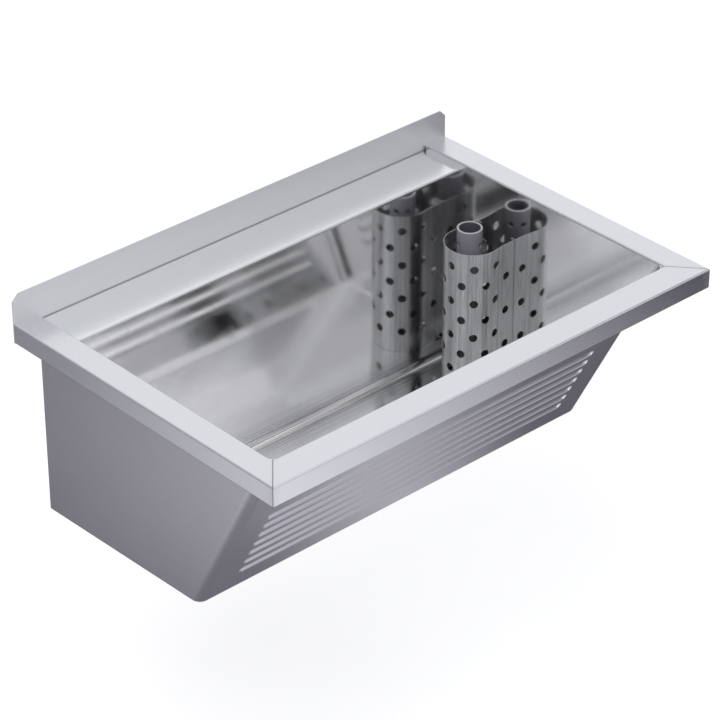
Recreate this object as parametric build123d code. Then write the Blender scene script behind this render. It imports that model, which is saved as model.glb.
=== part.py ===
from build123d import *
import math
import os

# Wall-hung stainless steel bedpan wash sink with a lift-out standpipe and a perforated guard.
# X runs along the sink, +Y points into the wall and +Z up. All sizes are in millimetres.
# The origin is the centre of the four wall fixings, on the wall plane.

# Driving dimensions
LENGTH = 900.0
DEPTH = 600.0
RIM_TOP = 120.0
SHEET = 1.5
APRON_HEIGHT = 35.0
APRON_LIP = 13.5
SIDE_RIM_WIDTH = 46.0
RIM_BEND = 3.0
SEAM_DROP = 4.0
WEB_GAP = 0.4
CUT_OVERRUN = 20.0
NUT_BEVEL_SHARE = 0.09
NUT_GAP = 0.05
RING_GAP = 0.2

FRONT_TOP_SETBACK = 51.0
FRONT_FOOT_SETBACK = 232.0
FRONT_FOOT_DROP = 350.0
REAR_DROP = 360.0
END_PANEL_WALL_GAP = 5.0
SLOPE_BEND = 16.0
BOTTOM_BEND = 6.0
END_FLANGE = 18.0

UPSTAND_HEIGHT = 50.0
UPSTAND_CHAMFER = 12.0
LEDGE_DEPTH = 86.0
LEDGE_DROP = 11.0
BACK_BEND = 14.0

RIB_COUNT = 7
RIB_FIRST = 194.4
RIB_PITCH = 24.4
RIB_DEPTH = 4.0
RIB_HALF_WIDTH = 8.0
RIB_END_MARGIN = 107.0

PIPE_X = 349.0
PIPE_Y = -168.0
PIPE_TOP_DROP = 68.0
PIPE_RADIUS = 21.5
PIPE_BORE = 17.8
PIPE_HOLE_RADIUS = 5.0
PIPE_HOLE_DROP = 27.0
PIPE_MOUTH_EDGE = 0.8
PIPE_HOLE_ANGLES = (105, 165, 285, 345)

DISH_RADIUS = 40.0
DISH_DROP = 5.2
WASTE_FLANGE_RADIUS = 37.0
WASTE_FLANGE = 2.5
WASTE_EDGE = 1.2
WASTE_THREAD_RADIUS = 23.9
WASTE_THREAD_SPARE = 4.0
WASTE_TAIL_RADIUS = 21.5
WASTE_BORE = 19.0
WASTE_TAIL = 64.0
WASTE_HOLE_GAP = 0.6
GASKET_RADIUS = 35.0
SLIP_WASHER_RADIUS = 33.0
UPPER_GASKET = 2.0
LOWER_GASKET = 3.0
FRICTION_WASHER = 1.0
LOCKNUT_FLATS = 62.0
LOCKNUT_HEIGHT = 9.0

SPIGOT_NOSE = 18.2
SPIGOT_REACH = 22.0
SPIGOT_SHOULDER = 4.0
SPIGOT_PLUG = 18.0
SPIGOT_BORE = 14.0
SPIGOT_COLLAR = 1.5
SPIGOT_TAPER = 1.5
SPIGOT_TAPER_LENGTH = 4.0
SPIGOT_PLUG_EDGE = 1.0
SPIGOT_PLUG_GAP = 0.05
O_RING_SECTION = 1.4
O_RING_DROP = 11.0
O_RING_SIDE_GAP = 0.1
O_RING_PROUD = 0.5
REST_GAP = 0.3

GUARD_SHEET = 1.2
GUARD_X = 350.5
GUARD_Y = -173.8
GUARD_RADIUS = 48.0
GUARD_NECK = 44.0
GUARD_BLEND = 160.0
GUARD_TOP_DROP = 92.0
GUARD_FLANGE = 9.0
GUARD_WALL_GAP = 0.4
GUARD_HOLE_RADIUS = 7.1
GUARD_LEG_HOLE_GAP = 18.5
GUARD_ROW_FIRST = 28.0
GUARD_ROW_PITCH = 32.4
GUARD_COLUMN_STEP = 25.0
GUARD_COLUMNS_EACH_SIDE = 4
GUARD_FOOT_MARGIN = 20.0

CLIP_HEIGHT = 40.0
CLIP_SHEET = 1.5
CLIP_GAP = 0.6
CLIP_FOOT = 12.0
CLIP_COVER = 6.0
CLIP_DROPS = (30.0, 190.0)

FIXING_SPACING_X = 600.0
FIXING_SPACING_Z = 120.0
FIXING_HOLE = 4.5
BRACKET_SHEET = 4.0
BRACKET_WIDTH = 44.0
BRACKET_ARM = 72.0
BRACKET_FOOT = 30.0
GUSSET_END_GAP = 8.0
GUSSET_NOSE = 4.0
GUSSET_FOOT = 20.0
STUD_RADIUS = 4.0
STUD_HOLE_GAP = 0.5
STUD_LENGTH = 24.0
STUD_TIP = 0.8
STUD_SETBACK = 48.0
STUD_WASHER_RADIUS = 8.0
STUD_WASHER = 1.6
STUD_NUT_FLATS = 13.0
STUD_NUT = 6.5

STIFFENER_FRONT_GAP = 6.0
STIFFENER_REAR_GAP = 8.0
STIFFENER_END_GAP = 12.0
STIFFENER_LEG = 22.0
STIFFENER_BEND = 2.5

PAD_SHEET = 3.0
PAD_FRONT_GAP = 15.0
PAD_REAR_GAP = 20.0
PAD_LEFT_GAP = 64.0
PAD_DISH_GAP = 40.0
PAD_CORNER = 12.0

EARTH_SETBACK = 45.0
EARTH_Z = -150.0
EARTH_TAB_REACH = 22.0
EARTH_TAB_WIDTH = 16.0
EARTH_TAB_RISE = 14.0
EARTH_TAB_SHEET = 2.0
EARTH_HOLE_REACH = 14.0
EARTH_HOLE_RADIUS = 3.2
EARTH_SCREW_RADIUS = 3.0
EARTH_SCREW_LENGTH = 12.0
EARTH_FLATS = 10.0
EARTH_HEAD = 4.0
EARTH_NUT = 5.0

# Sizes worked out from the driving dimensions
HALF_LENGTH = LENGTH / 2
END_OUTER = HALF_LENGTH - SIDE_RIM_WIDTH + SHEET
END_INNER = HALF_LENGTH - SIDE_RIM_WIDTH
FRONT_SLOPE = (FRONT_FOOT_SETBACK - FRONT_TOP_SETBACK) / FRONT_FOOT_DROP
SLOPE_LENGTH = math.hypot(1, FRONT_SLOPE)
REAR_EDGE_Y = -END_PANEL_WALL_GAP
FRONT_FOOT_Y = FRONT_FOOT_SETBACK - DEPTH
FLOOR_FALL = (REAR_DROP - FRONT_FOOT_DROP) / (REAR_EDGE_Y - FRONT_FOOT_Y)
FALL_LENGTH = math.hypot(1, FLOOR_FALL)
BACK_FACE_Y = -(LEDGE_DEPTH + SHEET)
LEDGE_TOP = RIM_TOP - LEDGE_DROP
SEAM_Z = RIM_TOP - SEAM_DROP
SPLIT_X = END_OUTER - END_FLANGE
FLOOR_SPLIT_X = END_INNER - BOTTOM_BEND
FRONT_SPLIT_Y = FRONT_FOOT_Y + END_FLANGE
FLOOR_SPLIT_TOP = RIM_TOP - FRONT_FOOT_DROP / 2
BACK_SPLIT_Y = BACK_FACE_Y - 2 * BACK_BEND
RIM_INNER_Y = FRONT_TOP_SETBACK - DEPTH + SHEET * SLOPE_LENGTH
BRACKET_PLACES = (-FIXING_SPACING_X / 2, FIXING_SPACING_X / 2)


def slope_y(z, inset=0.0):
    """Y of the sloping front panel at height z, moved inwards by inset."""
    return FRONT_TOP_SETBACK - DEPTH + (RIM_TOP - z) * FRONT_SLOPE + inset * SLOPE_LENGTH


def floor_z(y, inset=0.0):
    """Z of the falling bottom at depth y, moved upwards by inset."""
    return RIM_TOP - FRONT_FOOT_DROP - (y - FRONT_FOOT_Y) * FLOOR_FALL + inset * FALL_LENGTH


SEAT_Z = floor_z(PIPE_Y, SHEET) - DISH_DROP
FLANGE_TOP = SEAT_Z + UPPER_GASKET + WASTE_FLANGE
LOCKNUT_LOW = SEAT_Z - SHEET - LOWER_GASKET - FRICTION_WASHER - LOCKNUT_HEIGHT


def box(x_range, y_range, z_range):
    """Box between two corners."""
    size = [high - low for low, high in (x_range, y_range, z_range)]
    return Pos(x_range[0], y_range[0], z_range[0]) * Box(*size, align=(Align.MIN,) * 3)


def ring(radius, bore, low, high, x=PIPE_X, y=PIPE_Y):
    """Upright tube between two heights."""
    body = Cylinder(radius, high - low, align=(Align.CENTER, Align.CENTER, Align.MIN))
    hole = Cylinder(bore, high - low, align=(Align.CENTER, Align.CENTER, Align.MIN))
    return Pos(x, y, low) * (body - hole)


def rod(radius, low, high, x=PIPE_X, y=PIPE_Y):
    """Upright solid cylinder between two heights."""
    body = Cylinder(radius, high - low, align=(Align.CENTER, Align.CENTER, Align.MIN))
    return Pos(x, y, low) * body


def sheet_section(points, bend, thickness=SHEET):
    """Outline of a folded sheet: points run along its outer face and every bend turns right."""
    normals = []
    for (x0, y0), (x1, y1) in zip(points, points[1:]):
        length = math.hypot(x1 - x0, y1 - y0)
        normals.append(((y1 - y0) / length, (x0 - x1) / length))
    inner = []
    for point, before, after in zip(points, normals[:1] + normals, normals + normals[-1:]):
        scale = thickness / (1 + before[0] * after[0] + before[1] * after[1])
        inner.append((point[0] + (before[0] + after[0]) * scale,
                      point[1] + (before[1] + after[1]) * scale))
    outer_path = FilletPolyline(*points, radius=bend)
    inner_path = FilletPolyline(*inner, radius=bend - thickness)
    ends = [Line(points[0], inner[0]), Line(points[-1], inner[-1])]
    return make_face([*outer_path.edges(), *inner_path.edges(), *ends])


def along_x(section, low, high):
    """Extrude a section drawn in Y and Z along X between two places."""
    placed = Plane.YZ.offset(low) * section
    return extrude(placed, amount=high - low, dir=(1, 0, 0))


def along_y(section, low, high):
    """Extrude a section drawn in X and Z along Y between two places."""
    placed = Plane((0, low, 0), x_dir=(1, 0, 0), z_dir=(0, -1, 0)) * section
    return extrude(placed, amount=high - low, dir=(0, 1, 0))


def hopper(inset, extra_top, rear_y):
    """Closed block of the basin's outside, moved inwards by inset."""
    top = RIM_TOP + extra_top
    foot_z = floor_z(FRONT_FOOT_Y, inset)
    for _ in range(4):
        foot_y = slope_y(foot_z, inset)
        foot_z = floor_z(foot_y, inset)
    outline = Polyline(
        (slope_y(top, inset), top),
        (foot_y, foot_z),
        (rear_y, floor_z(rear_y, inset)),
        (rear_y, top),
        close=True,
    )
    half = END_OUTER - inset
    block = along_x(make_face(outline), -half, half)
    slope_edges = [
        edge for edge in block.edges()
        if abs(edge.center().X) > half - SHEET and edge.center().Y < foot_y - CUT_OVERRUN
        and edge.center().Z < top - CUT_OVERRUN
    ]
    block = fillet(slope_edges, SLOPE_BEND - inset)
    bottom = block.faces().sort_by(Axis.Z)[0]
    bottom_edges = [edge for edge in bottom.edges() if edge.center().Y < rear_y - SHEET]
    return fillet(bottom_edges, BOTTOM_BEND - inset)


def make_shell():
    """One skin of sheet thickness round the basin, open above and towards the wall."""
    outside = hopper(0, CUT_OVERRUN, REAR_EDGE_Y)
    skin = outside - hopper(SHEET, 2 * CUT_OVERRUN, REAR_EDGE_Y + CUT_OVERRUN)
    below_seam = box((-LENGTH, LENGTH), (-DEPTH, DEPTH), (-2 * DEPTH, SEAM_Z))
    return skin & below_seam


def floor_area():
    """Block round the middle of the bottom sheet, between its seams with the other sheets."""
    return box(
        (-FLOOR_SPLIT_X, FLOOR_SPLIT_X), (FRONT_SPLIT_Y, BACK_SPLIT_Y), (-2 * DEPTH, FLOOR_SPLIT_TOP)
    )


def make_end_panel(shell, side):
    """Dished end panel with its flange round the front and bottom; side is -1 or +1."""
    reach = sorted((side * SPLIT_X, side * LENGTH))
    return (shell & box(reach, (-DEPTH, DEPTH), (-2 * DEPTH, 2 * DEPTH))) - floor_area()


def rib_bar(radius, index):
    """Bar along X with ball ends, which shapes the face of one rib."""
    axis_gap = (RIB_HALF_WIDTH ** 2 - RIB_DEPTH ** 2) / (2 * RIB_DEPTH)
    drop = (RIB_FIRST + index * RIB_PITCH) / SLOPE_LENGTH
    y = slope_y(RIM_TOP - drop) - axis_gap / SLOPE_LENGTH
    z = RIM_TOP - drop - axis_gap * FRONT_SLOPE / SLOPE_LENGTH
    half_run = HALF_LENGTH - RIB_END_MARGIN - RIB_HALF_WIDTH
    bar = Rot(0, 90, 0) * Cylinder(radius, 2 * half_run)
    for end in (-half_run, half_run):
        bar = bar + Pos(end, 0, 0) * Sphere(radius)
    return Pos(0, y, z) * bar


def make_front_panel(shell):
    """Sloping front with long ribs pressed inwards from the outside."""
    panel = shell & box((-SPLIT_X, SPLIT_X), (-DEPTH, FRONT_SPLIT_Y), (-2 * DEPTH, SEAM_Z))
    groove_radius = (RIB_HALF_WIDTH ** 2 + RIB_DEPTH ** 2) / (2 * RIB_DEPTH)
    low, high = FRONT_FOOT_DROP - CUT_OVERRUN, RIB_FIRST - 2 * CUT_OVERRUN
    inner_side = along_x(
        make_face(Polyline(
            (slope_y(RIM_TOP - low, SHEET / 2), RIM_TOP - low),
            (slope_y(RIM_TOP - low) + 2 * CUT_OVERRUN, RIM_TOP - low),
            (slope_y(RIM_TOP - high) + 2 * CUT_OVERRUN, RIM_TOP - high),
            (slope_y(RIM_TOP - high, SHEET / 2), RIM_TOP - high),
            close=True,
        )),
        -SPLIT_X, SPLIT_X,
    )
    for index in range(RIB_COUNT):
        panel = panel + (rib_bar(groove_radius + SHEET, index) & inner_side)
    for index in range(RIB_COUNT):
        panel = panel - rib_bar(groove_radius, index)
    return panel


def make_floor(shell):
    """Bottom sheet with a level dish pressed down for the waste."""
    sheet = shell & floor_area()
    reach = 2 * DISH_RADIUS
    dish = ring(DISH_RADIUS + SHEET, DISH_RADIUS, SEAT_Z, SEAT_Z + reach)
    bore = WASTE_THREAD_RADIUS + WASTE_HOLE_GAP
    dish = dish + ring(DISH_RADIUS + SHEET, bore, SEAT_Z - SHEET, SEAT_Z)
    under_floor = along_x(
        make_face(Polyline(
            (PIPE_Y - reach, SEAT_Z - reach),
            (PIPE_Y + reach, SEAT_Z - reach),
            (PIPE_Y + reach, floor_z(PIPE_Y + reach, SHEET)),
            (PIPE_Y - reach, floor_z(PIPE_Y - reach, SHEET)),
            close=True,
        )),
        PIPE_X - reach, PIPE_X + reach,
    )
    sheet = sheet - rod(DISH_RADIUS + SHEET, SEAT_Z - reach, SEAT_Z + reach)
    return sheet + (dish & under_floor)


def make_back_wall(end_panels):
    """Rear wall of the basin, with its bend onto the floor."""
    top = LEDGE_TOP - 2 * RIM_BEND
    rear_y = BACK_FACE_Y + SHEET
    points = [(rear_y, top), (rear_y, floor_z(rear_y)), (BACK_SPLIT_Y, floor_z(BACK_SPLIT_Y))]
    wall = along_x(sheet_section(points, BACK_BEND), -SPLIT_X, SPLIT_X)
    strip = make_face(Polyline(
        (BACK_FACE_Y, floor_z(BACK_FACE_Y, SHEET)),
        (rear_y, floor_z(rear_y, SHEET)),
        (rear_y, top),
        (BACK_FACE_Y, top),
        close=True,
    ))
    wall = wall + along_x(strip, -END_INNER, -SPLIT_X) + along_x(strip, SPLIT_X, END_INNER)
    for panel in end_panels:
        wall = wall - panel
    return wall.solids().sort_by(SortBy.VOLUME)[-1]


def make_tap_ledge():
    """Recessed rear ledge, bent down at its front onto the back wall."""
    points = [
        (BACK_FACE_Y, LEDGE_TOP - 2 * RIM_BEND),
        (BACK_FACE_Y, LEDGE_TOP),
        (-SHEET, LEDGE_TOP),
    ]
    return along_x(sheet_section(points, RIM_BEND), -END_INNER, END_INNER)


def make_upstand():
    """Upright sheet against the wall, with cut top corners and ends that close the side rims."""
    top = RIM_TOP + UPSTAND_HEIGHT
    low = RIM_TOP - APRON_HEIGHT
    cut = UPSTAND_CHAMFER
    outline = Polyline(
        (-HALF_LENGTH, low),
        (-END_INNER, low),
        (-END_INNER, LEDGE_TOP - SHEET),
        (END_INNER, LEDGE_TOP - SHEET),
        (END_INNER, low),
        (HALF_LENGTH, low),
        (HALF_LENGTH, top - cut),
        (HALF_LENGTH - cut, top),
        (cut - HALF_LENGTH, top),
        (-HALF_LENGTH, top - cut),
        close=True,
    )
    return along_y(make_face(outline), -SHEET, 0)


def mitre_area(corners):
    """Upright block over a floor plan, used to cut the rims at their mitres."""
    plan = make_face(Polyline(*corners, close=True))
    return extrude(Pos(0, 0, -DEPTH) * plan, amount=2 * DEPTH, dir=(0, 0, 1))


def make_rims():
    """Front rim and the two side rims, mitred along the line between their corners."""
    run_x = SIDE_RIM_WIDTH
    run_y = RIM_INNER_Y + DEPTH
    reach = 1.3
    inner_x = HALF_LENGTH - run_x * reach
    inner_y = run_y * reach - DEPTH
    lip_z = RIM_TOP - APRON_HEIGHT
    front_points = [
        (APRON_LIP - DEPTH, lip_z),
        (-DEPTH, lip_z),
        (-DEPTH, RIM_TOP),
        (RIM_INNER_Y, RIM_TOP),
        (slope_y(SEAM_Z - SHEET, SHEET), SEAM_Z - SHEET),
    ]
    front = along_x(sheet_section(front_points, RIM_BEND), -HALF_LENGTH, HALF_LENGTH)
    below_seam = box(
        (-LENGTH, LENGTH), (RIM_INNER_Y - 2 * RIM_BEND, 0), (RIM_TOP - APRON_HEIGHT, SEAM_Z)
    )
    front = front - below_seam
    front = front & mitre_area([
        (-HALF_LENGTH, -DEPTH), (HALF_LENGTH, -DEPTH), (inner_x, inner_y), (-inner_x, inner_y)
    ])
    side_points = [
        (APRON_LIP - HALF_LENGTH, lip_z),
        (-HALF_LENGTH, lip_z),
        (-HALF_LENGTH, RIM_TOP),
        (-END_INNER, RIM_TOP),
        (-END_INNER, SEAM_Z),
    ]
    left = along_y(sheet_section(side_points, RIM_BEND), -DEPTH, -SHEET)
    left = left & mitre_area([
        (-HALF_LENGTH, -DEPTH), (-inner_x, inner_y), (-inner_x, -SHEET), (-HALF_LENGTH, -SHEET)
    ])
    right = mirror(left, about=Plane.YZ)
    return front, left, right


def make_corner_webs(rims):
    """Small plates that close the rim's square corners over the basin's rounded ones."""
    square = box(
        (WEB_GAP - END_OUTER, END_OUTER - WEB_GAP),
        (slope_y(SEAM_Z, SHEET / 2), RIM_INNER_Y + 2 * SLOPE_BEND),
        (SEAM_Z, SEAM_Z + SHEET),
    )
    webs = square - hopper(SHEET, 2 * CUT_OVERRUN, REAR_EDGE_Y)
    for rim in rims:
        webs = webs - rim
    return [web for web in webs.solids() if web.volume > SHEET ** 3]


def make_wall_bracket(x):
    """Folded bracket: back plate on the wall, arm under the ledge and one gusset."""
    low = -FIXING_SPACING_Z / 2 - BRACKET_FOOT
    top = LEDGE_TOP - SHEET
    half = BRACKET_WIDTH / 2
    nose_y = GUSSET_END_GAP - BRACKET_ARM
    plate = box((x - half, x + half), (-BRACKET_SHEET, 0), (low, top))
    arm = box((x - half, x + half), (-BRACKET_ARM, 0), (top - BRACKET_SHEET, top))
    gusset = along_x(
        make_face(Polyline(
            (-BRACKET_SHEET / 2, top - BRACKET_SHEET / 2),
            (nose_y, top - BRACKET_SHEET / 2),
            (nose_y, top - BRACKET_SHEET - GUSSET_NOSE),
            (-BRACKET_SHEET / 2, GUSSET_FOOT - FIXING_SPACING_Z / 2),
            close=True,
        )),
        x + half - BRACKET_SHEET, x + half,
    )
    bracket = plate + arm + gusset
    for z in (-FIXING_SPACING_Z / 2, FIXING_SPACING_Z / 2):
        bracket = bracket - Pos(x, 0, z) * Rot(90, 0, 0) * Cylinder(FIXING_HOLE, BRACKET_WIDTH)
    return bracket - rod(STUD_RADIUS + STUD_HOLE_GAP, top - STUD_LENGTH, top, x, -STUD_SETBACK)


def hexagon_nut(flats, bore, low, height, x, y):
    """Hexagon nut with its top and bottom corners turned off."""
    corner = flats / math.sqrt(3)
    nut = extrude(Pos(x, y, low) * RegularPolygon(corner, 6), amount=height, dir=(0, 0, 1))
    turned = Pos(x, y, low + height / 2) * Cylinder(corner + NUT_GAP, height)
    turned = chamfer(turned.edges().filter_by(GeomType.CIRCLE), corner * NUT_BEVEL_SHARE)
    return (nut & turned) - rod(bore, low - height, low + 2 * height, x, y)


def make_ledge_studs():
    """Welded studs under the ledge that hang the sink on its brackets."""
    top = LEDGE_TOP - SHEET
    studs = []
    for x in BRACKET_PLACES:
        stud = rod(STUD_RADIUS, top - STUD_LENGTH, top, x, -STUD_SETBACK)
        studs.append(chamfer(stud.faces().sort_by(Axis.Z)[0].edges(), STUD_TIP))
    return group(studs)


def make_stud_hardware():
    """Washers and nuts below the bracket arms."""
    seat = LEDGE_TOP - SHEET - BRACKET_SHEET
    low = seat - STUD_WASHER
    washers = []
    nuts = []
    for x in BRACKET_PLACES:
        washers.append(ring(STUD_WASHER_RADIUS, STUD_RADIUS + RING_GAP, low, seat, x, -STUD_SETBACK))
        bore = STUD_RADIUS + NUT_GAP
        nuts.append(hexagon_nut(STUD_NUT_FLATS, bore, low - STUD_NUT, STUD_NUT, x, -STUD_SETBACK))
    return washers, nuts


def make_front_stiffener():
    """Channel glued under the front rim."""
    low_y, high_y = SHEET - DEPTH + STIFFENER_FRONT_GAP, RIM_INNER_Y - STIFFENER_REAR_GAP
    top = RIM_TOP - SHEET
    low = top - STIFFENER_LEG
    outline = [(low_y, low), (low_y, top), (high_y, top), (high_y, low)]
    reach = END_INNER - STIFFENER_END_GAP
    return along_x(sheet_section(outline, STIFFENER_BEND), -reach, reach)


def make_sound_pad():
    """Damping sheet stuck under the bottom."""
    low_y, high_y = FRONT_SPLIT_Y + PAD_FRONT_GAP, BACK_SPLIT_Y - PAD_REAR_GAP
    outline = Polyline(
        (low_y, floor_z(low_y) - PAD_SHEET),
        (high_y, floor_z(high_y) - PAD_SHEET),
        (high_y, floor_z(high_y)),
        (low_y, floor_z(low_y)),
        close=True,
    )
    pad = along_x(make_face(outline), PAD_LEFT_GAP - END_INNER, PIPE_X - DISH_RADIUS - PAD_DISH_GAP)
    upright = pad.edges().filter_by(Axis.Z, tolerance=3)
    return fillet(upright, PAD_CORNER)


def make_earth_bond():
    """Bonding tab inside the left end panel, with its screw and nut."""
    x, y, z = -END_INNER, -EARTH_SETBACK, EARTH_Z
    width = (y - EARTH_TAB_WIDTH / 2, y + EARTH_TAB_WIDTH / 2)
    top = z + EARTH_TAB_SHEET
    tab = box((x, x + EARTH_TAB_REACH), width, (z, top))
    tab = tab + box((x, x + EARTH_TAB_SHEET), width, (z, z + EARTH_TAB_RISE))
    hole_x = x + EARTH_HOLE_REACH
    tab = tab - rod(EARTH_HOLE_RADIUS, z, top, hole_x, y)
    shank = rod(EARTH_SCREW_RADIUS, z - EARTH_SCREW_LENGTH, top + EARTH_HEAD / 2, hole_x, y)
    head = hexagon_nut(EARTH_FLATS, EARTH_SCREW_RADIUS / 2, top, EARTH_HEAD, hole_x, y)
    nut = hexagon_nut(EARTH_FLATS, EARTH_SCREW_RADIUS + NUT_GAP, z - EARTH_NUT, EARTH_NUT, hole_x, y)
    return tab, head + shank, nut


def make_waste_body():
    """Waste: domed flange, threaded neck and plain open outlet."""
    low = SEAT_Z - WASTE_TAIL
    neck = SEAT_Z + UPPER_GASKET
    thread_low = LOCKNUT_LOW - WASTE_THREAD_SPARE
    profile = Polyline(
        (WASTE_BORE, low),
        (WASTE_TAIL_RADIUS - WASTE_EDGE, low),
        (WASTE_TAIL_RADIUS, low + WASTE_EDGE),
        (WASTE_TAIL_RADIUS, thread_low),
        (WASTE_THREAD_RADIUS, thread_low),
        (WASTE_THREAD_RADIUS, neck),
        (WASTE_FLANGE_RADIUS, neck),
        (WASTE_FLANGE_RADIUS, neck + WASTE_FLANGE / 3),
        (WASTE_FLANGE_RADIUS - 2 * WASTE_FLANGE, FLANGE_TOP),
        (WASTE_BORE + WASTE_EDGE, FLANGE_TOP),
        (WASTE_BORE, FLANGE_TOP - WASTE_EDGE),
        close=True,
    )
    turned = revolve(Plane.XZ * make_face(profile), Axis.Z, 360)
    return Pos(PIPE_X, PIPE_Y, 0) * turned


def make_waste_rings():
    """Soft rings and the locknut that clamp the waste to the dish."""
    under = SEAT_Z - SHEET
    bore = WASTE_THREAD_RADIUS + RING_GAP
    upper = ring(GASKET_RADIUS, bore, SEAT_Z, SEAT_Z + UPPER_GASKET)
    lower = ring(GASKET_RADIUS, bore, under - LOWER_GASKET, under)
    slip = ring(SLIP_WASHER_RADIUS, bore, under - LOWER_GASKET - FRICTION_WASHER, under - LOWER_GASKET)
    nut = hexagon_nut(LOCKNUT_FLATS, WASTE_THREAD_RADIUS, LOCKNUT_LOW, LOCKNUT_HEIGHT, PIPE_X, PIPE_Y)
    return upper, lower, slip, nut


def make_standpipe():
    """Overflow tube, its turned spigot and the spigot's O-ring."""
    rest = FLANGE_TOP + REST_GAP
    tube_low = rest + SPIGOT_SHOULDER
    tube_top = RIM_TOP - PIPE_TOP_DROP
    tube = ring(PIPE_RADIUS, PIPE_BORE, tube_low, tube_top)
    mouth = tube.faces().sort_by(Axis.Z)[-1].edges()
    tube = fillet(mouth, PIPE_MOUTH_EDGE)
    for angle in PIPE_HOLE_ANGLES:
        drill = Rot(0, 90, 0) * Cylinder(
            PIPE_HOLE_RADIUS, 2 * PIPE_RADIUS, align=(Align.CENTER, Align.CENTER, Align.MIN)
        )
        tube = tube - Pos(PIPE_X, PIPE_Y, tube_top - PIPE_HOLE_DROP) * Rot(0, 0, angle) * drill
    groove_z = FLANGE_TOP - O_RING_DROP
    groove = O_RING_SECTION + O_RING_SIDE_GAP
    groove_radius = SPIGOT_NOSE - 2 * O_RING_SECTION + O_RING_PROUD
    collar_radius = PIPE_RADIUS + SPIGOT_COLLAR
    plug_radius = PIPE_BORE - SPIGOT_PLUG_GAP
    plug_top = tube_low + SPIGOT_PLUG
    profile = Polyline(
        (SPIGOT_BORE, FLANGE_TOP - SPIGOT_REACH),
        (SPIGOT_NOSE - SPIGOT_TAPER, FLANGE_TOP - SPIGOT_REACH),
        (SPIGOT_NOSE, FLANGE_TOP - SPIGOT_REACH + SPIGOT_TAPER_LENGTH),
        (SPIGOT_NOSE, groove_z - groove),
        (groove_radius, groove_z - groove),
        (groove_radius, groove_z + groove),
        (SPIGOT_NOSE, groove_z + groove),
        (SPIGOT_NOSE, rest),
        (collar_radius, rest),
        (collar_radius, tube_low),
        (plug_radius, tube_low),
        (plug_radius, plug_top - SPIGOT_PLUG_EDGE),
        (plug_radius - SPIGOT_PLUG_EDGE, plug_top),
        (SPIGOT_BORE, plug_top),
        close=True,
    )
    spigot = Pos(PIPE_X, PIPE_Y, 0) * revolve(Plane.XZ * make_face(profile), Axis.Z, 360)
    o_ring = Pos(PIPE_X, PIPE_Y, groove_z) * Torus(groove_radius + O_RING_SECTION, O_RING_SECTION)
    return tube, spigot, o_ring


def guard_face(inset, end_x):
    """Plan of one face of the guard: a lobe, two hollow blends and two legs to x = end_x."""
    radius, neck, blend = GUARD_RADIUS - inset, GUARD_NECK - inset, GUARD_BLEND + inset
    middle = (math.sqrt((radius + blend) ** 2 - (neck + blend) ** 2), neck + blend)
    touch = [place * radius / (radius + blend) for place in middle]
    half_turn = math.atan2(*middle) / 2
    waist = (middle[0] - blend * math.sin(half_turn), middle[1] - blend * math.cos(half_turn))
    curves = [ThreePointArc((touch[0], touch[1]), (-radius, 0), (touch[0], -touch[1]))]
    for side in (-1, 1):
        ends = (touch[0], side * touch[1]), (waist[0], side * waist[1]), (middle[0], side * neck)
        curves.append(ThreePointArc(*ends))
        curves.append(Line((middle[0], side * neck), (end_x, side * neck)))
    return curves


def make_guard():
    """Perforated sheet bent round the standpipe, with flanges held against the end panel."""
    end_x = END_INNER - GUARD_X - GUARD_WALL_GAP
    flange_x = end_x - GUARD_SHEET
    lip = GUARD_NECK - GUARD_FLANGE
    curves = guard_face(0, end_x) + guard_face(GUARD_SHEET, flange_x)
    for side in (-1, 1):
        curves.append(Polyline(
            (end_x, side * GUARD_NECK),
            (end_x, side * lip),
            (flange_x, side * lip),
            (flange_x, side * (GUARD_NECK - GUARD_SHEET)),
        ))
    plan = make_face([edge for curve in curves for edge in curve.edges()])
    top = RIM_TOP - GUARD_TOP_DROP
    low = floor_z(GUARD_Y + GUARD_RADIUS, SHEET) - BOTTOM_BEND
    guard = extrude(Pos(GUARD_X, GUARD_Y, low) * plan, amount=top - low, dir=(0, 0, 1))
    reach = 2 * GUARD_RADIUS
    under = along_x(
        make_face(Polyline(
            (GUARD_Y - reach, low - reach),
            (GUARD_Y + reach, low - reach),
            (GUARD_Y + reach, floor_z(GUARD_Y + reach, SHEET) + REST_GAP),
            (GUARD_Y - reach, floor_z(GUARD_Y - reach, SHEET) + REST_GAP),
            close=True,
        )),
        GUARD_X - reach, GUARD_X + reach,
    )
    corner = 2 * BOTTOM_BEND
    toe = box((END_INNER - corner, END_INNER), (GUARD_Y - reach, GUARD_Y + reach), (low, low + corner))
    return guard - under - toe - guard_drills(top, low)


def guard_drills(top, low):
    """Staggered holes: fans of them round the lobe and one in each leg in every other row."""
    drills = []
    rows = int((top - low - GUARD_ROW_FIRST - GUARD_FOOT_MARGIN) / GUARD_ROW_PITCH) + 1
    fan = Rot(0, 90, 0) * Cylinder(
        GUARD_HOLE_RADIUS, GUARD_RADIUS + 2 * GUARD_SHEET, align=(Align.CENTER, Align.CENTER, Align.MIN)
    )
    cross = Rot(90, 0, 0) * Cylinder(GUARD_HOLE_RADIUS, 2 * GUARD_RADIUS)
    for row in range(rows):
        z = top - GUARD_ROW_FIRST - row * GUARD_ROW_PITCH
        for column in range(-GUARD_COLUMNS_EACH_SIDE, GUARD_COLUMNS_EACH_SIDE + 1):
            if (row + column) % 2 == 0:
                turn = Rot(0, 0, 180 + column * GUARD_COLUMN_STEP)
                drills.append(Pos(GUARD_X, GUARD_Y, z) * turn * fan)
        if (row + GUARD_COLUMNS_EACH_SIDE) % 2:
            drills.append(Pos(END_INNER - GUARD_LEG_HOLE_GAP, GUARD_Y, z) * cross)
    return drills


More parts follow.
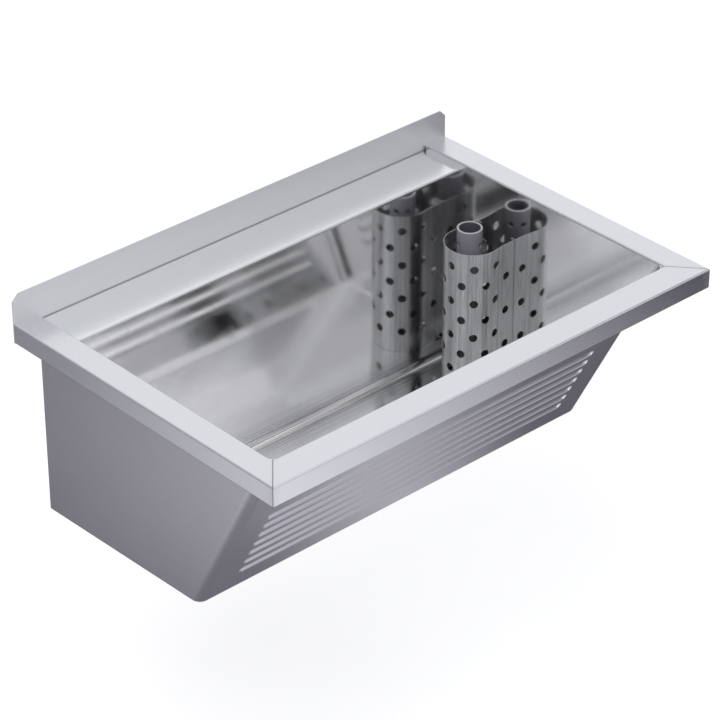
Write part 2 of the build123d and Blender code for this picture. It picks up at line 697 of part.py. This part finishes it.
def make_guard_clips():
    """Z-shaped keepers on the end panel that hold the guard's flanges."""
    top = RIM_TOP - GUARD_TOP_DROP
    flange_face = END_INNER - GUARD_WALL_GAP - GUARD_SHEET
    cover_x = flange_face - CLIP_GAP
    lip = GUARD_NECK - GUARD_FLANGE
    clips = []
    for side in (-1, 1):
        root = GUARD_Y + side * (lip - CLIP_GAP)
        foot_y = sorted((root, root - side * CLIP_FOOT))
        cover_y = sorted((root - side * CLIP_SHEET, root + side * CLIP_COVER))
        web_y = sorted((root, root - side * CLIP_SHEET))
        for drop in CLIP_DROPS:
            z = (top - drop - CLIP_HEIGHT, top - drop)
            clip = box((END_INNER - CLIP_SHEET, END_INNER), foot_y, z)
            clip = clip + box((cover_x - CLIP_SHEET, END_INNER), web_y, z)
            clip = clip + box((cover_x - CLIP_SHEET, cover_x), cover_y, z)
            clips.append(clip)
    return clips


def group(pieces):
    """Keep several equal pieces together as separate solids of one node."""
    return Compound(children=[piece.solid() for piece in pieces])


def build_nodes():
    """Every node of the sink, by name."""
    shell = make_shell()
    left_end = make_end_panel(shell, -1)
    right_end = make_end_panel(shell, 1)
    front_rim, left_rim, right_rim = make_rims()
    webs = make_corner_webs((front_rim, left_rim, right_rim))
    washers, nuts = make_stud_hardware()
    tab, earth_screw, earth_nut = make_earth_bond()
    upper, lower, slip, locknut = make_waste_rings()
    tube, spigot, o_ring = make_standpipe()
    return {
        "front_rim": front_rim,
        "left_rim": left_rim,
        "right_rim": right_rim,
        "rim_corner_webs": group(webs),
        "upstand": make_upstand(),
        "tap_ledge": make_tap_ledge(),
        "front_panel": make_front_panel(shell),
        "floor_panel": make_floor(shell),
        "back_wall": make_back_wall((left_end, right_end)),
        "left_end_panel": left_end,
        "right_end_panel": right_end,
        "front_stiffener": make_front_stiffener(),
        "sound_pad": make_sound_pad(),
        "left_wall_bracket": make_wall_bracket(BRACKET_PLACES[0]),
        "right_wall_bracket": make_wall_bracket(BRACKET_PLACES[1]),
        "ledge_studs": make_ledge_studs(),
        "bracket_washers": group(washers),
        "bracket_nuts": group(nuts),
        "earth_tab": tab,
        "earth_screw": earth_screw,
        "earth_nut": earth_nut,
        "waste_body": make_waste_body(),
        "upper_waste_gasket": upper,
        "lower_waste_gasket": lower,
        "waste_slip_washer": slip,
        "waste_locknut": locknut,
        "guard_clips": group(make_guard_clips()),
        "perforated_guard": make_guard(),
        "standpipe_tube": tube,
        "standpipe_spigot": spigot,
        "standpipe_o_ring": o_ring,
    }


os.makedirs("parts", exist_ok=True)
for name, node in build_nodes().items():
    export_step(node, f"parts/{name}.step")
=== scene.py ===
import math

import bpy
from mathutils import Matrix, Vector


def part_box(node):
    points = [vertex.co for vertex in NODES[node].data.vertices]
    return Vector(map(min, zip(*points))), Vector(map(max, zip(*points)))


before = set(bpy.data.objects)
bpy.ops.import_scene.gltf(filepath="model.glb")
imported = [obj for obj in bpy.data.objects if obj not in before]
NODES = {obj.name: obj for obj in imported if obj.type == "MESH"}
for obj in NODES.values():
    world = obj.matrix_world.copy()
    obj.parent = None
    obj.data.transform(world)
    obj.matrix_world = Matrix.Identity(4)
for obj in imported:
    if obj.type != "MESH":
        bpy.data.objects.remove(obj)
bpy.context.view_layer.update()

# Places that the looks are worked out from, in metres
RIM_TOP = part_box("front_rim")[1].z
FRONT_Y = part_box("front_rim")[0].y
INNER_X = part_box("tap_ledge")[1].x
LEDGE_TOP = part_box("tap_ledge")[1].z
BACK_FACE_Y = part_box("tap_ledge")[0].y
HALF_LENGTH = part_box("upstand")[1].x
RIM_INNER_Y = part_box("front_panel")[0].y
FLOOR_LOW, FLOOR_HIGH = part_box("floor_panel")
BASIN_CENTRE = Vector((0, (FLOOR_LOW.y + FLOOR_HIGH.y) / 2, (FLOOR_LOW.z + RIM_TOP) / 2))
PIPE_LOW, PIPE_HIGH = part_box("standpipe_tube")
PIPE_AXIS = (PIPE_LOW + PIPE_HIGH) / 2

# Anything deeper than this in the standpipe's wall, which is a little thicker, is its bore
PIPE_SKIN = 0.0034
PIPE_INSIDE = (PIPE_HIGH.x - PIPE_LOW.x) / 2 - PIPE_SKIN
PIPE_WORN_EDGE = 0.0012

# Sizes of the surface detail, in metres; a pair is where a line starts to fade and where it ends
MITRE_LINE = (0.0004, 0.0012)
MITRE_GROUND = (0.002, 0.012)
MITRE_REACH = 0.005
# Where the painted shade along the crease between the upstand and the ledge lies, and how it fades
# out
WALL_CREASE_SHADE_OFFSET = 0.0015
WALL_CREASE_SHADE = (0.0008, 0.0026)
BEND_REACH = 0.02
FINE_BUMP = 0.00003
BRUSH_BUMP = 0.00004
COARSE_BUMP = 0.00005
RUBBER_BUMP = 0.0001

# How deep the lines drawn along the bend are, against the brushing lines
DRAWN_DEPTH = 5.0

# Fineness of the brushing lines, per metre, and how far they are drawn out
BRUSH_SCALE = 900.0
BRUSH_STRETCH = 0.012

# Tints of the materials; a pair is the two ends that a noise mixes
RIM_TINTS = (0.66, 0.67, 0.695), (0.78, 0.79, 0.81)
RIM_CLOUD = (0.70, 0.70, 0.72)
MITRE_TINT = (0.10, 0.10, 0.11)
UPSTAND_TINTS = (0.86, 0.87, 0.885), (0.96, 0.97, 0.98)
LEDGE_TINTS = (0.80, 0.81, 0.825), (0.90, 0.91, 0.92)
# Painted shade along the crease where the upstand meets the ledge
WALL_CREASE_SHADE_TINT = (0.30, 0.30, 0.32)
POLISHED_TINTS = (0.91, 0.91, 0.92), (0.86, 0.86, 0.87)
SATIN_TINTS = (0.56, 0.55, 0.59), (0.68, 0.67, 0.71)
# Painted reflection: dark streaks along the rear bend of the basin
BEND_STREAK_REFLECTION_TINT = (0.42, 0.425, 0.44)
GUARD_TINTS = (0.46, 0.465, 0.47), (0.88, 0.885, 0.89)
GUARD_STREAK = (0.40, 0.405, 0.41)
ZINC_TINTS = (0.42, 0.43, 0.44), (0.58, 0.59, 0.60)
ZINC_GRIME = (0.30, 0.29, 0.28)
TURNED_TINTS = (0.60, 0.60, 0.61), (0.34, 0.33, 0.32)
WASTE_TINTS = (0.74, 0.75, 0.76), (0.60, 0.60, 0.58)
PIPE_TINTS = (0.235, 0.225, 0.262), (0.285, 0.278, 0.312)
PIPE_SCUFF = (0.40, 0.39, 0.43)
# Painted shade inside the standpipe's bore
PIPE_BORE_SHADE_TINT = (0.10, 0.10, 0.115)
PIPE_RING_TINT = (0.62, 0.61, 0.64)
SEAL_TINTS = (0.015, 0.015, 0.017), (0.035, 0.035, 0.038)
DAMPING_TINTS = (0.045, 0.045, 0.050), (0.085, 0.085, 0.09)
NYLON_TINTS = (0.70, 0.69, 0.66), (0.80, 0.79, 0.76)
FLOOR_TINTS = (0.90, 0.90, 0.90), (0.93, 0.93, 0.93)


# ---------------------------------------------------------------- shader helpers

class Shader:
    """A material's node tree with short ways to add and join its nodes."""

    def __init__(self, name, **direct):
        self.material = bpy.data.materials.new(name)
        self.material.use_nodes = True
        self.tree = self.material.node_tree
        self.surface = self.tree.nodes["Principled BSDF"]
        for socket, value in direct.items():
            self.surface.inputs[socket.replace("_", " ")].default_value = value
        self.place = self.tree.nodes.new("ShaderNodeTexCoord").outputs["Object"]

    def node(self, kind, inputs=(), **settings):
        made = self.tree.nodes.new("ShaderNode" + kind)
        for key, value in settings.items():
            setattr(made, key, value)
        for socket, value in dict(inputs).items():
            if isinstance(value, bpy.types.NodeSocket):
                self.tree.links.new(value, made.inputs[socket])
            else:
                made.inputs[socket].default_value = value
        return made

    def noise(self, scale, detail=3.0, roughness=0.5, stretch=(1, 1, 1), distortion=0.0):
        """Noise from 0 to 1 at a scale per metre, stretched along some axes."""
        placed = self.node("Mapping", {"Vector": self.place, "Scale": stretch}).outputs[0]
        made = self.node("TexNoise", {
            "Vector": placed, "Scale": scale, "Detail": detail, "Roughness": roughness,
            "Distortion": distortion,
        })
        return made.outputs["Fac"]

    def math(self, operation, first, second=0.0):
        made = self.node("Math", {0: first, 1: second}, operation=operation)
        return made.outputs[0]

    def vector(self, operation, first, second=(0, 0, 0)):
        made = self.node("VectorMath", {0: first, 1: second}, operation=operation)
        return made.outputs["Value" if operation in ("DOT_PRODUCT", "LENGTH") else "Vector"]

    def ramp(self, value, low, high, to_low=0.0, to_high=1.0):
        """Map a value from one range to another, clamped."""
        made = self.node("MapRange", {
            "Value": value, "From Min": low, "From Max": high, "To Min": to_low, "To Max": to_high,
        })
        return made.outputs["Result"]

    def mix(self, factor, first, second):
        """Mix two colours."""
        made = self.node("Mix", data_type="RGBA")
        for socket, value in (("Factor", factor), ("A", first), ("B", second)):
            target = [s for s in made.inputs if s.name == socket and s.enabled][0]
            if isinstance(value, bpy.types.NodeSocket):
                self.tree.links.new(value, target)
            else:
                target.default_value = (*value, 1.0) if socket != "Factor" else value
        return [s for s in made.outputs if s.enabled][0]

    def axes(self):
        """X, Y and Z of the shaded point."""
        return self.node("SeparateXYZ", {0: self.place}).outputs

    def both(self, first, second):
        """Product of two values."""
        return self.math("MULTIPLY", first, second)

    def bump(self, height, distance):
        made = self.node("Bump", {"Height": height, "Distance": distance, "Strength": 1.0})
        self.to("Normal", made.outputs[0])

    def to(self, socket, value):
        self.tree.links.new(value, self.surface.inputs[socket])


def streaks(shader, axis):
    """Fine brushing lines that run along one axis."""
    stretch = [1.0, 1.0, 1.0]
    stretch["XYZ".index(axis)] = BRUSH_STRETCH
    return shader.noise(BRUSH_SCALE, detail=4.0, roughness=0.7, stretch=stretch)


# ---------------------------------------------------------------- materials

def from_mitre(shader):
    """Distance from the line of the mitre, and whether the point lies in the corner at all."""
    run_x = HALF_LENGTH - INNER_X
    run_y = RIM_INNER_Y - FRONT_Y
    length = math.hypot(run_x, run_y)
    x, y, _ = shader.axes()
    from_end = shader.math("SUBTRACT", HALF_LENGTH, shader.math("ABSOLUTE", x))
    from_front = shader.math("SUBTRACT", y, FRONT_Y)
    across = shader.math(
        "SUBTRACT", shader.both(from_end, run_y / length), shader.both(from_front, run_x / length)
    )
    at_corner = shader.math("LESS_THAN", from_front, run_y + MITRE_REACH)
    return shader.math("ABSOLUTE", across), at_corner


def rim_steel(name, axis):
    """Satin brushed sheet of the rims, with smudges, handling marks and mitre seams."""
    shader = Shader(name, Metallic=1.0)
    lines = streaks(shader, axis)
    cloud = shader.noise(5.0, detail=4.0, roughness=0.6)
    marks = shader.noise(38.0, detail=6.0, roughness=0.7, distortion=0.6)
    distance, at_corner = from_mitre(shader)
    mitre_seam_and_crease_shade = shader.both(shader.ramp(distance, *MITRE_LINE, 1.0, 0.0), at_corner)
    ground = shader.both(shader.ramp(distance, *MITRE_GROUND, 1.0, 0.0), at_corner)
    tint = shader.mix(lines, *RIM_TINTS)
    tint = shader.mix(shader.ramp(cloud, 0.35, 0.7, 0.0, 0.35), tint, RIM_CLOUD)
    tint = shader.mix(shader.both(mitre_seam_and_crease_shade, 0.75), tint, MITRE_TINT)
    shader.to("Base Color", tint)
    rough = shader.ramp(lines, 0.2, 0.8, 0.19, 0.29)
    rough = shader.math("ADD", rough, shader.ramp(marks, 0.55, 0.75, 0.0, 0.07))
    rough = shader.math("ADD", rough, shader.both(ground, 0.08))
    shader.to("Roughness", rough)
    height = shader.math("SUBTRACT", lines, shader.both(mitre_seam_and_crease_shade, 2.0))
    shader.bump(height, BRUSH_BUMP)
    return shader.material


def wall_steel(name, dark, light, rough):
    """Brushed sheet of the upstand and the ledge, with painted shade darkening the crease where the
    two meet.
    """
    shader = Shader(name, Metallic=1.0)
    lines = streaks(shader, "X")
    cloud = shader.noise(3.0, detail=4.0, roughness=0.6)
    marks = shader.noise(30.0, detail=6.0, roughness=0.7, distortion=0.6)
    _, y, z = shader.axes()
    # Painted shade: a dark band darkens the colour along the crease where the upstand meets the ledge
    rise = shader.math("ABSOLUTE", shader.math("SUBTRACT", z, LEDGE_TOP))
    depth = shader.math("ABSOLUTE", shader.math("ADD", y, WALL_CREASE_SHADE_OFFSET))
    mitre_seam_and_crease_shade = shader.ramp(shader.math("ADD", rise, depth), *WALL_CREASE_SHADE, 1.0, 0.0)
    smudge = tuple(0.9 * part for part in light)
    tint = shader.mix(lines, dark, light)
    tint = shader.mix(shader.ramp(cloud, 0.35, 0.7, 0.0, 0.3), tint, smudge)
    shader.to("Base Color", shader.mix(shader.both(mitre_seam_and_crease_shade, 0.6), tint, WALL_CREASE_SHADE_TINT))
    brushed = shader.ramp(lines, 0.2, 0.8, rough, rough + 0.1)
    shader.to("Roughness", shader.math("ADD", brushed, shader.ramp(marks, 0.55, 0.75, 0.0, 0.07)))
    shader.bump(lines, FINE_BUMP)
    return shader.material


def is_outside(shader):
    """1 on the faces that look away from the basin's middle, 0 on its wet side."""
    geometry = shader.node("NewGeometry")
    outward = shader.vector("SUBTRACT", geometry.outputs["Position"], tuple(BASIN_CENTRE))
    facing = shader.vector("DOT_PRODUCT", geometry.outputs["Normal"], outward)
    return shader.math("GREATER_THAN", facing, 0.0)


def near_bend(shader):
    """1 along the bend between the floor and the back wall, fading out around it."""
    _, y, z = shader.axes()
    low = shader.ramp(z, FLOOR_HIGH.z, FLOOR_HIGH.z + BEND_REACH, 1.0, 0.0)
    rear = shader.ramp(y, BACK_FACE_Y - 3 * BEND_REACH, BACK_FACE_Y - BEND_REACH)
    return shader.both(low, rear)


def basin_steel(name, axis):
    """Basin sheet: polished on the wet side, satin brushed outside; in its rear bend fine grooves in
    the bump and dark streaks painted into the colour as a painted reflection.
    """
    shader = Shader(name, Metallic=1.0)
    outside = is_outside(shader)
    bend = near_bend(shader)
    lines = streaks(shader, axis)
    cloud = shader.noise(4.0, detail=5.0, roughness=0.6, distortion=0.4)
    water = shader.noise(26.0, detail=6.0, roughness=0.65, distortion=0.8)
    bend_grooves_and_painted_streaks = shader.noise(420.0, detail=3.0, roughness=0.6, stretch=(0.006, 1, 1))
    inner = shader.mix(shader.ramp(water, 0.5, 0.7, 0.0, 0.5), *POLISHED_TINTS)
    # Painted reflection: dark streaks painted into the colour along the rear bend, beside the grooves
    # in the bump
    wear_and_painted_streaks = shader.both(bend, shader.ramp(bend_grooves_and_painted_streaks, 0.42, 0.60, 0.0, 0.75))
    inner = shader.mix(wear_and_painted_streaks, inner, BEND_STREAK_REFLECTION_TINT)
    outer = shader.mix(lines, *SATIN_TINTS)
    shader.to("Base Color", shader.mix(outside, inner, outer))
    wet = shader.ramp(cloud, 0.3, 0.7, 0.055, 0.10)
    wet = shader.math("ADD", wet, shader.ramp(water, 0.58, 0.72, 0.0, 0.04))
    wet = shader.math("ADD", wet, shader.both(bend, 0.10))
    dry = shader.ramp(lines, 0.2, 0.8, 0.30, 0.40)
    dry = shader.math("ADD", dry, shader.ramp(cloud, 0.4, 0.7, 0.0, 0.05))
    rise = shader.both(outside, shader.math("SUBTRACT", dry, wet))
    shader.to("Roughness", shader.math("ADD", wet, rise))
    height = shader.both(lines, shader.ramp(outside, 0.0, 1.0, 0.12, 1.0))
    groove = shader.both(shader.both(bend, DRAWN_DEPTH), bend_grooves_and_painted_streaks)
    shader.bump(shader.math("ADD", height, groove), BRUSH_BUMP)
    return shader.material


def guard_steel(name):
    """Brushed sheet of the guard, with fine and broad streaks up and down."""
    shader = Shader(name, Metallic=1.0)
    lines = shader.noise(1100.0, detail=3.0, roughness=0.7, stretch=(1, 1, 0.025))
    broad = shader.noise(190.0, detail=2.0, roughness=0.6, stretch=(1, 1, 0.004))
    spots = shader.noise(60.0, detail=5.0, roughness=0.7)
    grain = shader.ramp(lines, 0.30, 0.70)
    tint = shader.mix(grain, *GUARD_TINTS)
    tint = shader.mix(shader.ramp(broad, 0.48, 0.62, 0.0, 0.45), tint, GUARD_STREAK)
    shader.to("Base Color", tint)
    rough = shader.ramp(lines, 0.2, 0.8, 0.30, 0.44)
    rough = shader.math("ADD", rough, shader.ramp(spots, 0.5, 0.75, 0.0, 0.06))
    shader.to("Roughness", rough)
    shader.bump(lines, COARSE_BUMP)
    return shader.material


def plated_steel(name):
    """Dull zinc plate with faint spangle."""
    shader = Shader(name, Metallic=1.0)
    cells = shader.node("TexVoronoi", {"Vector": shader.place, "Scale": 90.0}).outputs["Color"]
    spangle = shader.node("SeparateColor", {0: cells}).outputs[0]
    grime = shader.noise(30.0, detail=5.0, roughness=0.65)
    tint = shader.mix(spangle, *ZINC_TINTS)
    shader.to("Base Color", shader.mix(shader.ramp(grime, 0.5, 0.8, 0.0, 0.5), tint, ZINC_GRIME))
    shader.to("Roughness", shader.ramp(grime, 0.3, 0.8, 0.34, 0.55))
    shader.bump(shader.noise(600.0, detail=3.0), COARSE_BUMP)
    return shader.material


def fastener_steel(name):
    """Turned steel with fine rings of tool marks."""
    shader = Shader(name, Metallic=1.0)
    lines = shader.noise(1500.0, detail=2.0, stretch=(0.05, 0.05, 1))
    grime = shader.noise(120.0, detail=4.0)
    shader.to("Base Color", shader.mix(shader.ramp(grime, 0.45, 0.75, 0.0, 0.6), *TURNED_TINTS))
    shader.to("Roughness", shader.ramp(lines, 0.2, 0.8, 0.24, 0.40))
    shader.bump(lines, FINE_BUMP)
    return shader.material


def waste_metal(name):
    """Polished waste with water marks."""
    shader = Shader(name, Metallic=1.0)
    marks = shader.noise(90.0, detail=6.0, roughness=0.7, distortion=0.5)
    shader.to("Base Color", shader.mix(shader.ramp(marks, 0.55, 0.75, 0.0, 0.5), *WASTE_TINTS))
    shader.to("Roughness", shader.ramp(marks, 0.45, 0.75, 0.07, 0.24))
    shader.bump(marks, FINE_BUMP)
    return shader.material


def pipe_plastic(name):
    """Grey lilac moulded plastic, slightly scuffed, with painted shade darkening its bore and worn on
    its top edge.
    """
    shader = Shader(name, Coat_Weight=0.25, Coat_Roughness=0.22, IOR=1.5)
    scuffs = shader.noise(500.0, detail=3.0, stretch=(1, 1, 0.03))
    cloud = shader.noise(24.0, detail=4.0)
    across = shader.vector("SUBTRACT", shader.place, tuple(PIPE_AXIS))
    from_axis = shader.vector("LENGTH", shader.vector("MULTIPLY", across, (1.0, 1.0, 0.0)))
    height = shader.axes()[2]
    tint = shader.mix(cloud, *PIPE_TINTS)
    tint = shader.mix(shader.ramp(scuffs, 0.6, 0.8, 0.0, 0.35), tint, PIPE_SCUFF)
    # Painted shade: the bore is darkened where light does not reach into the pipe
    tint = shader.mix(shader.math("LESS_THAN", from_axis, PIPE_INSIDE), tint, PIPE_BORE_SHADE_TINT)
    wear_and_painted_streaks = shader.ramp(height, PIPE_HIGH.z - PIPE_WORN_EDGE, PIPE_HIGH.z, 0.0, 0.6)
    shader.to("Base Color", shader.mix(wear_and_painted_streaks, tint, PIPE_RING_TINT))
    shader.to("Roughness", shader.ramp(scuffs, 0.3, 0.8, 0.30, 0.48))
    shader.bump(scuffs, FINE_BUMP)
    return shader.material


def rubber(name, dark, light, grain):
    """Matt rubber with a fine grain."""
    shader = Shader(name, IOR=1.45)
    speck = shader.noise(grain, detail=5.0, roughness=0.7)
    shader.to("Base Color", shader.mix(speck, dark, light))
    shader.to("Roughness", shader.ramp(speck, 0.3, 0.7, 0.62, 0.85))
    shader.bump(speck, RUBBER_BUMP)
    return shader.material


def nylon(name):
    """White nylon washer."""
    shader = Shader(name, IOR=1.5, Subsurface_Weight=0.1)
    cloud = shader.noise(200.0, detail=3.0)
    shader.to("Base Color", shader.mix(cloud, *NYLON_TINTS))
    shader.to("Roughness", shader.ramp(cloud, 0.3, 0.7, 0.38, 0.5))
    shader.bump(cloud, COARSE_BUMP)
    return shader.material


def dress(material, *names):
    """Give CAD nodes their material."""
    for name in names:
        slots = NODES[name].data.materials
        slots.clear()
        slots.append(material)


def dress_all():
    """Give every CAD node its material."""
    dress(rim_steel("rim_brushed_x", "X"), "front_rim", "rim_corner_webs")
    dress(rim_steel("rim_brushed_y", "Y"), "left_rim", "right_rim")
    dress(wall_steel("upstand_brushed", *UPSTAND_TINTS, 0.46), "upstand")
    dress(wall_steel("ledge_brushed", *LEDGE_TINTS, 0.16), "tap_ledge")
    dress(basin_steel("basin_brushed_x", "X"), "front_panel", "floor_panel", "back_wall")
    dress(basin_steel("basin_brushed_y", "Y"), "left_end_panel", "right_end_panel")
    dress(guard_steel("guard_brushed"), "perforated_guard", "guard_clips")
    dress(plated_steel("zinc_plate"),
          "left_wall_bracket", "right_wall_bracket", "front_stiffener", "earth_tab")
    dress(fastener_steel("turned_steel"),
          "ledge_studs", "bracket_washers", "bracket_nuts", "earth_screw", "earth_nut")
    dress(waste_metal("waste_polished"), "waste_body", "waste_locknut")
    dress(pipe_plastic("pipe_grey"), "standpipe_tube", "standpipe_spigot")
    dress(rubber("seal_black", *SEAL_TINTS, 900.0),
          "upper_waste_gasket", "lower_waste_gasket", "standpipe_o_ring")
    dress(rubber("damping_grey", *DAMPING_TINTS, 350.0), "sound_pad")
    dress(nylon("nylon_white"), "waste_slip_washer")


# ---------------------------------------------------------------- studio

CAMERA_AZIMUTH = math.radians(-42.163)
CAMERA_ELEVATION = math.radians(31.922)
CAMERA_ROLL = math.radians(-0.15)
CAMERA_DISTANCE = 5.0814
CAMERA_AIM = Vector((0.0061, -0.2788, -0.0081))
CAMERA_LENS = 162.8
CAMERA_SENSOR = 36.0
FLOOR_Z = -0.78
FLOOR_HALF = 14.0
FLOOR_GLOW = 0.3
CARD_DARK = (0.075, 0.070, 0.090)
CARD_LIGHT = (1.05, 1.04, 1.10)
KEY_PLACE = (-2.0, -1.6, 3.2)
KEY_AIM = (0, -0.3, 0)
KEY_SIDE = 2.4
KEY_POWER = 60

# Sky: brightness by height, from straight down at 0 to straight up at 1
SKY_STOPS = [
    (0.00, (0.05, 0.048, 0.060)),
    (0.30, (0.14, 0.135, 0.155)),
    (0.46, (0.50, 0.495, 0.52)),
    (0.54, (1.00, 1.01, 1.04)),
    (0.77, (0.98, 0.99, 1.02)),
    (0.88, (0.99, 0.99, 1.00)),
    (1.00, (0.74, 0.745, 0.76)),
]

# The sky is dimmer on its left: direction X from and to, brightness from and to
SKY_ASIDE = {"From Min": -0.6, "From Max": 0.4, "To Min": 0.56, "To Max": 1.0}


def make_camera():
    """Long lens from the front left and above, at the picture's angle."""
    back = Vector((
        math.sin(CAMERA_AZIMUTH) * math.cos(CAMERA_ELEVATION),
        -math.cos(CAMERA_AZIMUTH) * math.cos(CAMERA_ELEVATION),
        math.sin(CAMERA_ELEVATION),
    ))
    side = Vector((math.cos(CAMERA_AZIMUTH), math.sin(CAMERA_AZIMUTH), 0))
    up = back.cross(side)
    turn = Matrix((side, up, back)).transposed() @ Matrix.Rotation(CAMERA_ROLL, 3, "Z")
    data = bpy.data.cameras.new("camera")
    data.lens = CAMERA_LENS
    data.sensor_width = CAMERA_SENSOR
    camera = bpy.data.objects.new("camera", data)
    camera.matrix_world = Matrix.Translation(CAMERA_AIM + back * CAMERA_DISTANCE) @ turn.to_4x4()
    bpy.context.scene.collection.objects.link(camera)
    bpy.context.scene.camera = camera


def plane(name, half_x, half_y, place, material):
    """Flat stage sheet facing up."""
    mesh = bpy.data.meshes.new(name)
    corners = [(-half_x, -half_y, 0), (half_x, -half_y, 0), (half_x, half_y, 0), (-half_x, half_y, 0)]
    mesh.from_pydata(corners, [], [(0, 1, 2, 3)])
    mesh.materials.append(material)
    made = bpy.data.objects.new(name, mesh)
    made.location = place
    bpy.context.scene.collection.objects.link(made)
    return made


def make_floor():
    """Plain pale floor."""
    glow = {"Emission_Color": (1, 1, 1, 1), "Emission_Strength": FLOOR_GLOW}
    shader = Shader("pale_floor", Roughness=0.9, **glow)
    cloud = shader.noise(3.0, detail=4.0)
    shader.to("Base Color", shader.mix(cloud, *FLOOR_TINTS))
    floor = plane("floor", FLOOR_HALF, FLOOR_HALF, (0, 0, FLOOR_Z), shader.material)
    floor.visible_glossy = False


def make_card(name, half, place, turn, paint):
    """Studio card that only shows in glossy reflections; paint gives its brightness and cover."""
    plain = {"Base_Color": (0, 0, 0, 1), "Specular_IOR_Level": 0.0, "Emission_Strength": 1.0}
    shader = Shader(name, Roughness=1.0, **plain)
    along, up, _ = shader.axes()
    level, cover = paint(shader, along, up)
    shader.to("Emission Color", shader.mix(level, CARD_DARK, CARD_LIGHT))
    if cover:
        shader.to("Alpha", cover)
    card = plane(name, *half, place, shader.material)
    card.rotation_euler = turn
    card.visible_camera = False
    card.visible_diffuse = False
    card.visible_shadow = False
    card.visible_transmission = False


def paint_under(shader, x, y):
    """Bright in front on the left, with a pool of light under the middle and a glow out behind."""
    front = shader.ramp(x, 0.15, 1.25, 0.95, 0.02)
    from_pool = shader.math("ABSOLUTE", shader.math("SUBTRACT", x, 0.22))
    pool = shader.ramp(from_pool, 0.02, 0.30, 0.48, 0.0)
    left = shader.both(shader.ramp(x, -1.2, -0.7, 0.80, 0.02), shader.ramp(y, 0.5, 1.15, 1.0, 0.22))
    base = shader.ramp(x, -0.2, 0.5, 0.12, 0.05)
    near = shader.math("ADD", shader.math("ADD", pool, left), base)
    blend = shader.ramp(y, -0.75, -0.2)
    level = shader.math("ADD", front, shader.both(blend, shader.math("SUBTRACT", near, front)))
    return level, None


def paint_front(shader, x, z):
    """Dark, fading out to the left and at its top and bottom."""
    fade = shader.ramp(x, -0.75, 0.35)
    edge = shader.ramp(shader.math("ABSOLUTE", z), 0.8, 1.1, 1.0, 0.0)
    return shader.both(fade, 0.05), shader.both(fade, edge)


def paint_over(shader, x, y):
    """Half dark, fading out to the left and at its front and rear."""
    fade = shader.ramp(x, -0.95, 0.1, 0.0, 0.5)
    edge = shader.ramp(shader.math("ABSOLUTE", y), 0.5, 0.9, 1.0, 0.0)
    return shader.both(fade, 0.3), shader.both(fade, edge)


def make_cards():
    """Cards above, below and in front of the sink on the right, for its reflections."""
    make_card("over_card", (0.95, 0.9), (1.9, -0.45, 2.0), (0, 0, 0), paint_over)
    make_card("under_card", (2.4, 2.2), (0, -0.4, -0.55), (0, 0, 0), paint_under)
    make_card("front_card", (1.7, 1.1), (1.8, -2.0, 1.9), (math.radians(90), 0, 0), paint_front)


def make_key():
    """Soft square studio light, high above the sink's front left."""
    data = bpy.data.lights.new("key", "AREA")
    data.shape = "RECTANGLE"
    data.size = KEY_SIDE
    data.size_y = KEY_SIDE
    data.energy = KEY_POWER
    light = bpy.data.objects.new("key", data)
    light.location = KEY_PLACE
    light.rotation_mode = "QUATERNION"
    light.rotation_quaternion = (Vector(KEY_AIM) - Vector(KEY_PLACE)).to_track_quat("-Z", "Y")
    light.visible_glossy = False
    bpy.context.scene.collection.objects.link(light)


def make_world():
    """Bright soft sky that falls to a dark tone below the horizon."""
    world = bpy.data.worlds.new("studio")
    world.use_nodes = True
    nodes = world.node_tree.nodes
    links = world.node_tree.links
    split = nodes.new("ShaderNodeSeparateXYZ")
    links.new(nodes.new("ShaderNodeTexCoord").outputs["Generated"], split.inputs[0])
    height = nodes.new("ShaderNodeMapRange")
    height.inputs["From Min"].default_value = -1.0
    links.new(split.outputs[2], height.inputs["Value"])
    ramp = nodes.new("ShaderNodeValToRGB")
    links.new(height.outputs[0], ramp.inputs[0])
    elements = ramp.color_ramp.elements
    for element, (position, colour) in zip(elements, (SKY_STOPS[0], SKY_STOPS[-1])):
        element.position = position
        element.color = (*colour, 1)
    for position, colour in SKY_STOPS[1:-1]:
        elements.new(position).color = (*colour, 1)
    aside = nodes.new("ShaderNodeMapRange")
    links.new(split.outputs[0], aside.inputs["Value"])
    for socket, value in SKY_ASIDE.items():
        aside.inputs[socket].default_value = value
    background = nodes["Background"]
    links.new(ramp.outputs[0], background.inputs["Color"])
    links.new(aside.outputs[0], background.inputs["Strength"])
    bpy.context.scene.world = world


def make_studio():
    """Camera, floor, cards, sky and light."""
    make_camera()
    make_floor()
    make_cards()
    make_world()
    make_key()
    bpy.context.scene.view_settings.view_transform = "Standard"


dress_all()
make_studio()
